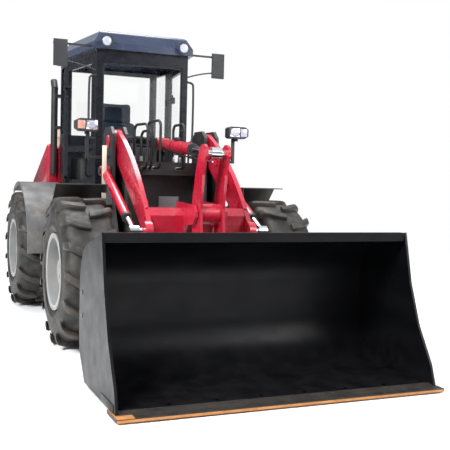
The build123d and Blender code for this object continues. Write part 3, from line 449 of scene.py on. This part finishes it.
def make_wheels():
    tyre = make_tyre()
    nut = drum("nut", (0.126 + 0.01, 0, 0.19), (1, 0, 0), 0.017, 0.022, "bolt_steel", "rear_frame",
               0.002, 6)
    rings = [
        lathe("rim_ring", [(0.182, 0.268), (0.186, 0.272), (0.188, 0.284), (0.182, 0.289)], (0, 0, 0),
              "rim_grey", None),
        lathe("disc_ring", [(0.069, 0.21), (0.082, 0.218), (0.082, 0.232), (0.069, 0.240)], (0, 0, 0),
              "rim_grey", None),
        lathe("hub_cap", [(0.139, 0.0), (0.139, 0.045), (0.146, 0.048), (0.146, 0.0)], (0, 0, 0),
              "rim_grey", None),
    ]
    nuts = []
    for i in range(8):
        turn = Matrix.Rotation(math.tau * (i + 0.5) / 8, 4, "X")
        nuts.append(copied(nut, turn @ Matrix.Translation((-0.055, 0, -0.018)), f"nut_{i}"))
    bpy.data.objects.remove(nut)
    trim = joined("rim_trim_model", rings + nuts)
    flip = Matrix.Scale(-1, 4, Vector((1, 0, 0)))
    for end, y in (("front", FRONT_AXLE_Y), ("rear", REAR_AXLE_Y)):
        for side, sign in (("right", -1), ("left", 1)):
            place = Matrix.Translation((sign * WHEEL_X, y, AXLE_Z))
            if sign < 0:
                place = place @ flip
            body = f"wheel_{end}_{side}"
            one = copied(tyre, place, f"tyre_lugged_{end}_{side}")
            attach(one, body)
            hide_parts(f"tyre_{end}_{side}")
            bolts = copied(trim, place, f"rim_trim_{end}_{side}")
            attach(bolts, body)
    bpy.data.objects.remove(tyre)
    bpy.data.objects.remove(trim)


# Bucket: bolts and worn lip of the cutting edge, worn corner, side strips and plugs

EDGE_BOLTS = 8
EDGE_BOLT_STEP = 0.276
EDGE_BOLT_Y = -2.55


def make_bucket_trim():
    pieces = []
    for i in range(EDGE_BOLTS):
        x = (i - (EDGE_BOLTS - 1) / 2) * EDGE_BOLT_STEP
        pieces.append(drum(f"bolt_{i}", (x, EDGE_BOLT_Y, 0.033), (0, 0, 1), 0.017, 0.014, "bolt_steel",
                           "bucket", 0.004, 24))
    joined("edge_bolts", pieces, "bucket")
    low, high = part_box("cutting_edge")
    bar("edge_lip", (low[0] + 0.002, low[1] - 0.002, low[2] + 0.001),
        (high[0] - 0.002, low[1] + 0.010, low[2] + 0.016),
        "edge_worn", "bucket", 0.002)
    bar("edge_corner", (low[0] + 0.001, low[1] + 0.003, low[2] + 0.003),
        (low[0] + 0.10, low[1] + 0.19, 0.0295),
        "edge_worn", "bucket", 0.002)
    for sign in (-1, 1):
        x = sign * 1.013
        bar(f"side_wear_strip_{'left' if sign > 0 else 'right'}", (x - 0.004, -2.60, 0.03),
            (x + 0.004, -2.33, 0.075),
            "bucket_black", "bucket", 0.003)
    weld = []
    for sign in (-1, 1):
        for z in (0.42, 0.56):
            weld.append(drum(f"plug_{sign}_{z}", (sign * 1.0135, -1.83, z), (1, 0, 0), 0.016, 0.006,
                             "black_steel", "bucket", 0.002, 20))
    joined("side_plugs", weld, "bucket")


# Lift gear: pin caps, cylinder bands, glands, indicator rod and gussets

def make_loader_trim():
    for sign, side in ((-1, "right"), (1, "left")):
        outer = sign * (ARM_OUTER_X + 0.05)
        drum(f"boom_pin_cap_{side}", (outer + sign * 0.005, *BOOM_PIVOT[1:]), (1, 0, 0), 0.055, 0.012,
             "boom_red", "front_frame")
        drum(f"bucket_pin_cap_{side}", (sign * 0.458, *BUCKET_PIN[1:]), (1, 0, 0), 0.045, 0.014,
             "black_steel", "bucket")
        bar(f"arm_edge_strip_{side}", (sign * 0.3925 - 0.012, -1.11, 1.052),
            (sign * 0.3925 + 0.012, -1.04, 1.06),
            "boom_red", "boom", 0.002)
        for i, (y, z) in enumerate(((-0.55, 1.42), (-0.80, 1.26), (-1.0, 1.08))):
            start()
            x = sign * (ARM_INNER_X - 0.013)
            bpy.ops.mesh.primitive_cylinder_add(vertices=3, radius=0.035, depth=0.022, location=(x, y, z),
                                                rotation=(0, math.pi / 2, 0))
            tab = take(f"hose_tab_{side}_{i}", "boom_red", None)
            bevel(tab, 0.003)
            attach(tab, "boom")
    aim = (CRANK_TOP - BOOM_PIVOT).normalized()
    length = (CRANK_TOP - BOOM_PIVOT).length
    band = BOOM_PIVOT + aim * 0.34
    collar("tilt_clamp_band", band, aim, 0.0505, 0.0462, 0.012, "black_steel", "tilt_barrel")
    collar("tilt_gland", BOOM_PIVOT + aim * (length * 0.62 + 0.004), aim, 0.0475, 0.028, 0.012,
           "black_steel", "tilt_barrel")
    bar("tilt_port", band + Vector((-0.02, -0.06, 0.045)), band + Vector((0.02, -0.02, 0.07)),
        "black_steel", "tilt_barrel")
    down = Vector((0, aim.z, -aim.y)).normalized()
    if down.z > 0:
        down = -down
    rod_start = BOOM_PIVOT + aim * 0.30 + down * 0.062
    tube("level_rod", [rod_start, rod_start + aim * 0.4, rod_start + aim * 0.85], 0.006, "chrome_rod",
         "tilt_barrel")
    drum("level_guide", rod_start + aim * 0.40, aim, 0.012, 0.03, "black_steel", "tilt_barrel")
    for sign, side in ((-1, "right"), (1, "left")):
        x = sign * 0.5035
        aim2 = (LIFT_EYE - LIFT_BASE).normalized()
        size = (LIFT_EYE - LIFT_BASE).length
        centre = LIFT_BASE + aim2 * (size * 0.8 - 0.01)
        collar(f"lift_gland_{side}", (x, centre.y, centre.z), aim2, 0.0405, 0.024, 0.03, "black_steel",
               "lift_barrels")
        eye = LIFT_EYE
        drum(f"lift_eye_cap_{side}", (x + sign * 0.037, eye.y, eye.z), (1, 0, 0), 0.032, 0.008,
             "black_steel", "lift_rods")
    low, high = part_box("tower")
    # Painted highlight: the cream strips on the tower's front edges stand for the light caught by the edges
    # of its grey plates.
    for sign, side in ((-1, "right"), (1, "left")):
        x = sign * (high[0] - 0.044)
        bar(f"tower_highlight_strip_{side}", (x + sign * 0.022 - 0.018, -0.3995, 1.10),
            (x + sign * 0.022 + 0.018, -0.393, 1.52), "cream", "front_frame", 0.002)
    bar("tower_panel", (0.02, -0.1175, 0.98), (0.20, -0.1285, 1.12), "panel_grey", "front_frame", 0.003)


FLANK_X = 0.556
FLANK_Y = 2.08
FLANK_Z = 1.39
FLANK_SIZE = (0.118, 0.84, 0.46)
FLANK_FALL = 0.38


def make_hood_flanks():
    """Bulges on both sides of the hood, beside the cab, that fall towards the rear."""
    for sign, side in ((-1, "right"), (1, "left")):
        start()
        bpy.ops.mesh.primitive_cube_add(size=1, location=(sign * FLANK_X, FLANK_Y, FLANK_Z))
        bpy.context.object.scale = FLANK_SIZE
        flank = take(f"hood_flank_{side}", "body_red", None)
        bpy.ops.object.mode_set(mode="EDIT")
        bpy.ops.mesh.select_all(action="DESELECT")
        bpy.ops.object.mode_set(mode="OBJECT")
        for vertex in flank.data.vertices:
            vertex.select = vertex.co.z > FLANK_Z and vertex.co.y > FLANK_Y
        bpy.ops.object.mode_set(mode="EDIT")
        bpy.ops.transform.translate(value=(0, 0, -FLANK_FALL))
        bpy.ops.object.mode_set(mode="OBJECT")
        bevel(flank, 0.03, 3)
        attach(flank, "hood")


def make_hose_fittings():
    """Crimped steel collars where each hose leaves the tower's beam."""
    pieces = []
    for x, shift in ((-0.225, 0.040), (-0.165, 0.035), (-0.110, 0.020), (0.115, 0.005), (0.175, -0.030)):
        pieces.append(drum(f"collar_{x}", (x, BOOM_PIVOT.y + 0.050, 1.432), (0, 0, 1), 0.0145, 0.044,
                           "bolt_steel", "front_frame", 0.002, 20))
        pieces.append(drum(f"nut_{x}", (x, BOOM_PIVOT.y + 0.050, 1.415), (0, 0, 1), 0.019, 0.012,
                           "bolt_steel", "front_frame", 0.001, 6))
        pieces.append(drum(f"low_{x}", (x + shift, BOOM_PIVOT.y - 0.040, 1.355), (0, 1, 0), 0.0145,
                           0.038, "bolt_steel", "front_frame", 0.002, 20))
    joined("hose_collars", pieces, "front_frame")


# Lamps

def make_lamps():
    low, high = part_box("headlamps")
    front = low[1]
    z = (low[2] + high[2]) / 2
    for sign, side in ((-1, "right"), (1, "left")):
        inner, outer = sorted((sign * 0.565, sign * 0.747))
        middle = (inner + outer) / 2
        if sign < 0:
            amber, clear = (inner + 0.012, middle - 0.018), (middle - 0.010, outer - 0.012)
        else:
            clear, amber = (inner + 0.012, middle + 0.010), (middle + 0.018, outer - 0.012)
        bar(f"headlamp_reflector_{side}", (clear[0], front - 0.001, z - 0.036),
            (clear[1], front + 0.004, z + 0.036),
            "lamp_chrome", "front_frame", 0.002)
        start()
        bpy.ops.mesh.primitive_uv_sphere_add(segments=32, ring_count=16, radius=1,
                                             location=((clear[0] + clear[1]) / 2, front, z))
        bpy.context.object.scale = ((clear[1] - clear[0]) / 2.2, 0.012, 0.034)
        lens = take(f"headlamp_lens_{side}", "lamp_white", None)
        bpy.ops.object.shade_smooth()
        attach(lens, "front_frame")
        drum(f"headlamp_knob_{side}", (middle, front + 0.05, low[2] - 0.012), (0, 0, 1), 0.014, 0.02,
             "dark_plastic", "front_frame", 0.004, 20)
        bar(f"indicator_lens_{side}", (amber[0], front - 0.006, z - 0.034),
            (amber[1], front + 0.003, z + 0.034),
            "lamp_amber" if sign < 0 else "lamp_white", "front_frame", 0.005)
    low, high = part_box("roof_lamps")
    for sign, side in ((-1, "right"), (1, "left")):
        start()
        bpy.ops.mesh.primitive_uv_sphere_add(segments=32, ring_count=16, radius=1,
                                             location=(sign * 0.358, low[1] + 0.010, 2.462))
        bpy.context.object.scale = (0.0435, 0.013, 0.0435)
        lens = take(f"roof_lens_{side}", "lamp_white", None)
        bpy.ops.object.shade_smooth()
        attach(lens, "rear_frame")
        collar(f"roof_lamp_rim_{side}", (sign * 0.358, low[1] + 0.012, 2.462), (0, 1, 0), 0.052, 0.042,
               0.02,
               "black_steel", "rear_frame")


# Seat pads

def padded_block(name, low, high, crown, voxel, cap):
    """Pad from a subdivided block that the cloth solver swells, with its result applied."""
    start()
    low, high = Vector(low), Vector(high)
    bpy.ops.mesh.primitive_cube_add(size=1, location=(low + high) / 2)
    bpy.context.object.scale = high - low
    piece = take(name, "seat_cloth", None)
    bevel(piece, crown, 3)
    mesh = piece.modifiers.new("remesh", "REMESH")
    mesh.mode = "VOXEL"
    mesh.voxel_size = voxel
    bpy.ops.object.modifier_apply(modifier=mesh.name)
    before = [v.co.copy() for v in piece.data.vertices]
    cloth = piece.modifiers.new("cloth", "CLOTH")
    cloth.settings.use_pressure = True
    cloth.settings.uniform_pressure_force = 4
    cloth.settings.effector_weights.gravity = 0
    for step in range(1, 21):
        bpy.context.scene.frame_set(step)
    bpy.ops.object.modifier_apply(modifier=cloth.name)
    bpy.context.scene.frame_set(1)
    for vertex, place in zip(piece.data.vertices, before):
        move = vertex.co - place
        if move.length > cap:
            vertex.co = place + move.normalized() * cap
    bpy.ops.object.shade_smooth()
    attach(piece, "rear_frame")
    return piece


def make_seat():
    low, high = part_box("seat_cushions")
    y0, y1, z0, z1 = low[1], high[1], low[2], high[2]
    squab = padded_block("seat_squab", (-0.24, y0 + 0.01, z0 + 0.01), (0.24, y0 + 0.43, z0 + 0.12),
                         0.04, 0.012, 0.01)
    back = padded_block("seat_back", (-0.22, y0 + 0.46, z0 + 0.03), (0.22, y1 - 0.01, z0 + 0.63), 0.045,
                        0.012, 0.01)
    head = padded_block("seat_head", (-0.17, y0 + 0.465, z0 + 0.60), (0.17, y1 - 0.03, z1 - 0.01),
                        0.035, 0.012, 0.008)
    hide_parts("seat_cushions")
    for sign in (-1, 1):
        bar(f"armrest_{'left' if sign > 0 else 'right'}", (sign * 0.285 - 0.04, y0 + 0.12, z0 + 0.24),
            (sign * 0.285 + 0.04, y0 + 0.50, z0 + 0.29), "dark_plastic", "rear_frame", 0.015)


def make_cab_trim():
    """Wiper, windscreen seals, inside console with joystick, and dashboard."""
    wind_low, wind_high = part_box("windscreen")
    y = wind_low[1] - 0.012
    tube("wiper_arm", [(0.03, y, wind_low[2] + 0.02), (0.06, y - 0.012, wind_low[2] + 0.25),
                       (0.10, y - 0.008, wind_low[2] + 0.48)],
         0.006, "dark_plastic", "rear_frame")
    bar("wiper_blade", (0.088, y - 0.006, wind_low[2] + 0.18), (0.104, y + 0.008, wind_low[2] + 0.72),
        "dark_plastic", "rear_frame", 0.003)
    drum("wiper_pivot", (0.03, y - 0.004, wind_low[2] + 0.02), (0, 1, 0), 0.018, 0.02, "dark_plastic",
         "rear_frame")
    for x0, x1, z0, z1, label in ((wind_low[0], wind_low[0] + 0.012, wind_low[2], wind_high[2], "right"),
                                  (wind_high[0] - 0.012, wind_high[0], wind_low[2], wind_high[2], "left"),
                                  (wind_low[0], wind_high[0], wind_high[2] - 0.012, wind_high[2], "top"),
                                  (wind_low[0], wind_high[0], wind_low[2], wind_low[2] + 0.012, "low")):
        bar(f"windscreen_seal_{label}", (x0, wind_low[1] - 0.006, z0), (x1, wind_low[1] + 0.002, z1),
            "hose_rubber", "rear_frame", 0.002)
    bar("side_console", (-0.42, 0.96, 0.95), (-0.30, 1.40, 1.46), "dark_plastic", "rear_frame", 0.02)
    tube("joystick", [(-0.36, 1.02, 1.46), (-0.36, 1.01, 1.54), (-0.355, 0.99, 1.60)], 0.011,
         "dark_plastic", "rear_frame")
    drum("joystick_knob", (-0.355, 0.988, 1.61), (0, -0.3, 1), 0.024, 0.055, "dark_plastic",
         "rear_frame", 0.012)
    bar("dashboard", (-0.16, 0.42, 1.42), (0.16, 0.50, 1.56), "dark_plastic", "rear_frame", 0.02)


def make_cab_rails():
    """Grab rails on the front pillars and the lower arms of the mirrors."""
    low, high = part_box("mirrors")
    arm_z = low[2] + 0.06
    for sign, side in ((-1, "right"), (1, "left")):
        tube(f"grab_rail_{side}", [(sign * x, RAIL_Y, z) for x,
                                   z in ((0.415, 2.17), (0.48, 2.17), (0.49, 2.12),
                                                                     (0.49, 1.66), (0.48, 1.61),
                                                                     (0.415, 1.61))],
             0.010, "dark_plastic", "rear_frame")
        tube(f"mirror_arm_{side}", [(sign * 0.415, RAIL_Y, arm_z - 0.08),
                                    (sign * 0.55, low[1] + 0.02, arm_z - 0.03),
                                    (sign * (high[0] - 0.03), low[1] + 0.02, arm_z)],
             0.007, "dark_plastic", "rear_frame")


# Paint the model's own pieces

NODE_MATERIALS = {
    # The tower gets black steel as painted shade: its plates are frame grey, painted dark for the shade
    # that lies on them beside the arms.
    "front_frame": "frame_grey", "tower": "black_steel", "front_axle": "frame_grey",
    "headlamp_posts": "black_steel",
    "front_fender_right": "fender_brown", "front_fender_left": "fender_brown", "headlamps": "dark_plastic",
    "hydraulic_hoses": "hose_rubber", "boom": "boom_red", "bellcrank": "boom_red", "tilt_link": "boom_red",
    "tilt_barrel": "boom_red", "tilt_rod": "chrome_rod", "lift_barrels": "boom_red",
    "lift_rods": "chrome_rod",
    "steer_barrel": "black_steel", "steer_rod": "chrome_rod", "bucket": "bucket_black",
    "cutting_edge": "edge_steel",
    "quick_hitch": "black_steel", "rear_frame": "frame_grey", "rear_axle": "frame_grey",
    "counterweight": "cab_dark",
    "engine": "engine_iron", "hood": "body_red", "rear_fender_right": "fender_grey",
    "rear_fender_left": "fender_grey",
    "steps_right": "black_steel", "steps_left": "black_steel", "exhaust": "black_steel",
    "air_intake": "cream",
    "cab_tub": "cab_dark", "cab_frame": "cab_dark", "cab_roof": "roof_dark", "windscreen": "window",
    "rear_windows": "window",
    "seat_base": "dark_plastic", "steering_column": "dark_plastic", "mirrors": "dark_plastic",
    "roof_lamps": "lamp_chrome", "tail_lamps": "red_plastic", "door_right": "cab_dark",
    "door_left": "cab_dark",
    "door_glass_right": "window", "door_glass_left": "window",
}
ROUNDED = {
    "boom": 0.004, "bellcrank": 0.003, "tower": 0.003, "front_frame": 0.003, "cab_frame": 0.003,
    "counterweight": 0.012,
    "front_fender_right": 0.002, "front_fender_left": 0.002, "headlamps": 0.008, "mirrors": 0.004,
    "quick_hitch": 0.003,
    "steps_right": 0.003, "steps_left": 0.003, "door_right": 0.003, "door_left": 0.003, "rear_frame": 0.003,
}


def paint_nodes():
    for name, obj in nodes.items():
        material = NODE_MATERIALS.get(name)
        if name.startswith("rim_"):
            material = "rim_grey"
        if not material:
            continue
        if not obj.material_slots:
            obj.data.materials.append(M[material])
        for entry in obj.material_slots:
            entry.material = M[material]
        if name in ROUNDED:
            ease = obj.modifiers.new("eased_edges", "BEVEL")
            ease.width = ROUNDED[name]
            ease.segments = 2
            ease.limit_method = "ANGLE"
            ease.angle_limit = math.radians(40)
            ease.harden_normals = False


# Floor, lights and background

FADE_START = 4.5
FADE_END = 10.0


def fade_floor(material):
    """The floor turns to the white background with its distance from the loader."""
    tree = material.node_tree
    place = tree.nodes.new("ShaderNodeNewGeometry")
    reach = tree.nodes.new("ShaderNodeVectorMath")
    reach.operation = "LENGTH"
    tree.links.new(place.outputs["Position"], reach.inputs[0])
    share = spread(tree, reach.outputs["Value"], FADE_START, FADE_END, 0.0, 1.0)
    path = tree.nodes.new("ShaderNodeLightPath")
    share = multiply(tree, share, path.outputs["Is Camera Ray"])
    white = tree.nodes.new("ShaderNodeEmission")
    mix = tree.nodes.new("ShaderNodeMixShader")
    tree.links.new(share, mix.inputs["Fac"])
    tree.links.new(tree.nodes["Principled BSDF"].outputs[0], mix.inputs[1])
    tree.links.new(white.outputs[0], mix.inputs[2])
    tree.links.new(mix.outputs[0], tree.nodes["Material Output"].inputs["Surface"])


def make_stage():
    start()
    bpy.ops.mesh.primitive_plane_add(size=80, location=(0, 0, -0.001))
    floor = bpy.context.object
    floor.name = "floor"
    material = bpy.data.materials.new("floor")
    material.use_nodes = True
    shader = material.node_tree.nodes["Principled BSDF"]
    shader.inputs["Base Color"].default_value = (0.93, 0.93, 0.93, 1)
    shader.inputs["Roughness"].default_value = 0.9
    shader.inputs["Specular IOR Level"].default_value = 0.1
    fade_floor(material)
    floor.data.materials.append(material)
    world = bpy.data.worlds.new("studio")
    bpy.context.scene.world = world
    world.use_nodes = True
    tree = world.node_tree
    tree.nodes.clear()
    out = tree.nodes.new("ShaderNodeOutputWorld")
    seen = tree.nodes.new("ShaderNodeBackground")
    seen.inputs["Color"].default_value = (1, 1, 1, 1)
    seen.inputs["Strength"].default_value = 1.0
    lit = tree.nodes.new("ShaderNodeBackground")
    coords = tree.nodes.new("ShaderNodeTexCoord")
    split = tree.nodes.new("ShaderNodeSeparateXYZ")
    tree.links.new(coords.outputs["Generated"], split.inputs[0])
    ramp = tree.nodes.new("ShaderNodeValToRGB")
    ramp.color_ramp.elements[0].position = 0.0
    ramp.color_ramp.elements[0].color = (0.10, 0.10, 0.11, 1)
    ramp.color_ramp.elements[1].position = 1.0
    ramp.color_ramp.elements[1].color = (1.0, 1.03, 1.08, 1)
    middle = ramp.color_ramp.elements.new(0.35)
    middle.color = (0.42, 0.44, 0.48, 1)
    tree.links.new(split.outputs["Z"], ramp.inputs["Fac"])
    tree.links.new(ramp.outputs["Color"], lit.inputs["Color"])
    lit.inputs["Strength"].default_value = 1.0
    path = tree.nodes.new("ShaderNodeLightPath")
    either = tree.nodes.new("ShaderNodeMath")
    either.operation = "MAXIMUM"
    tree.links.new(path.outputs["Is Camera Ray"], either.inputs[0])
    tree.links.new(path.outputs["Is Transmission Ray"], either.inputs[1])
    mix = tree.nodes.new("ShaderNodeMixShader")
    tree.links.new(either.outputs[0], mix.inputs["Fac"])
    tree.links.new(lit.outputs[0], mix.inputs[1])
    tree.links.new(seen.outputs[0], mix.inputs[2])
    tree.links.new(mix.outputs[0], out.inputs["Surface"])
    for name, place, energy, size in (
        ("key", (-7.0, -6.0, 7.5), 1500, 3.0), ("fill", (6.0, -7.5, 5.0), 500, 5.0),
        ("top", (0.0, 2.0, 9.0), 700, 5.0),
    ):
        light = bpy.data.lights.new(name, "AREA")
        light.energy = energy
        light.size = size
        obj = bpy.data.objects.new(name, light)
        obj.location = place
        aim = Vector((0, -0.3, 0.9)) - Vector(place)
        obj.rotation_euler = aim.to_track_quat("-Z", "Y").to_euler()
        bpy.context.scene.collection.objects.link(obj)
    bpy.context.scene.view_settings.view_transform = "Standard"


make_camera()
paint_nodes()
make_wheels()
make_bucket_trim()
make_loader_trim()
make_hood_flanks()
make_hose_fittings()
make_lamps()
make_seat()
make_cab_trim()
make_cab_rails()
make_stage()
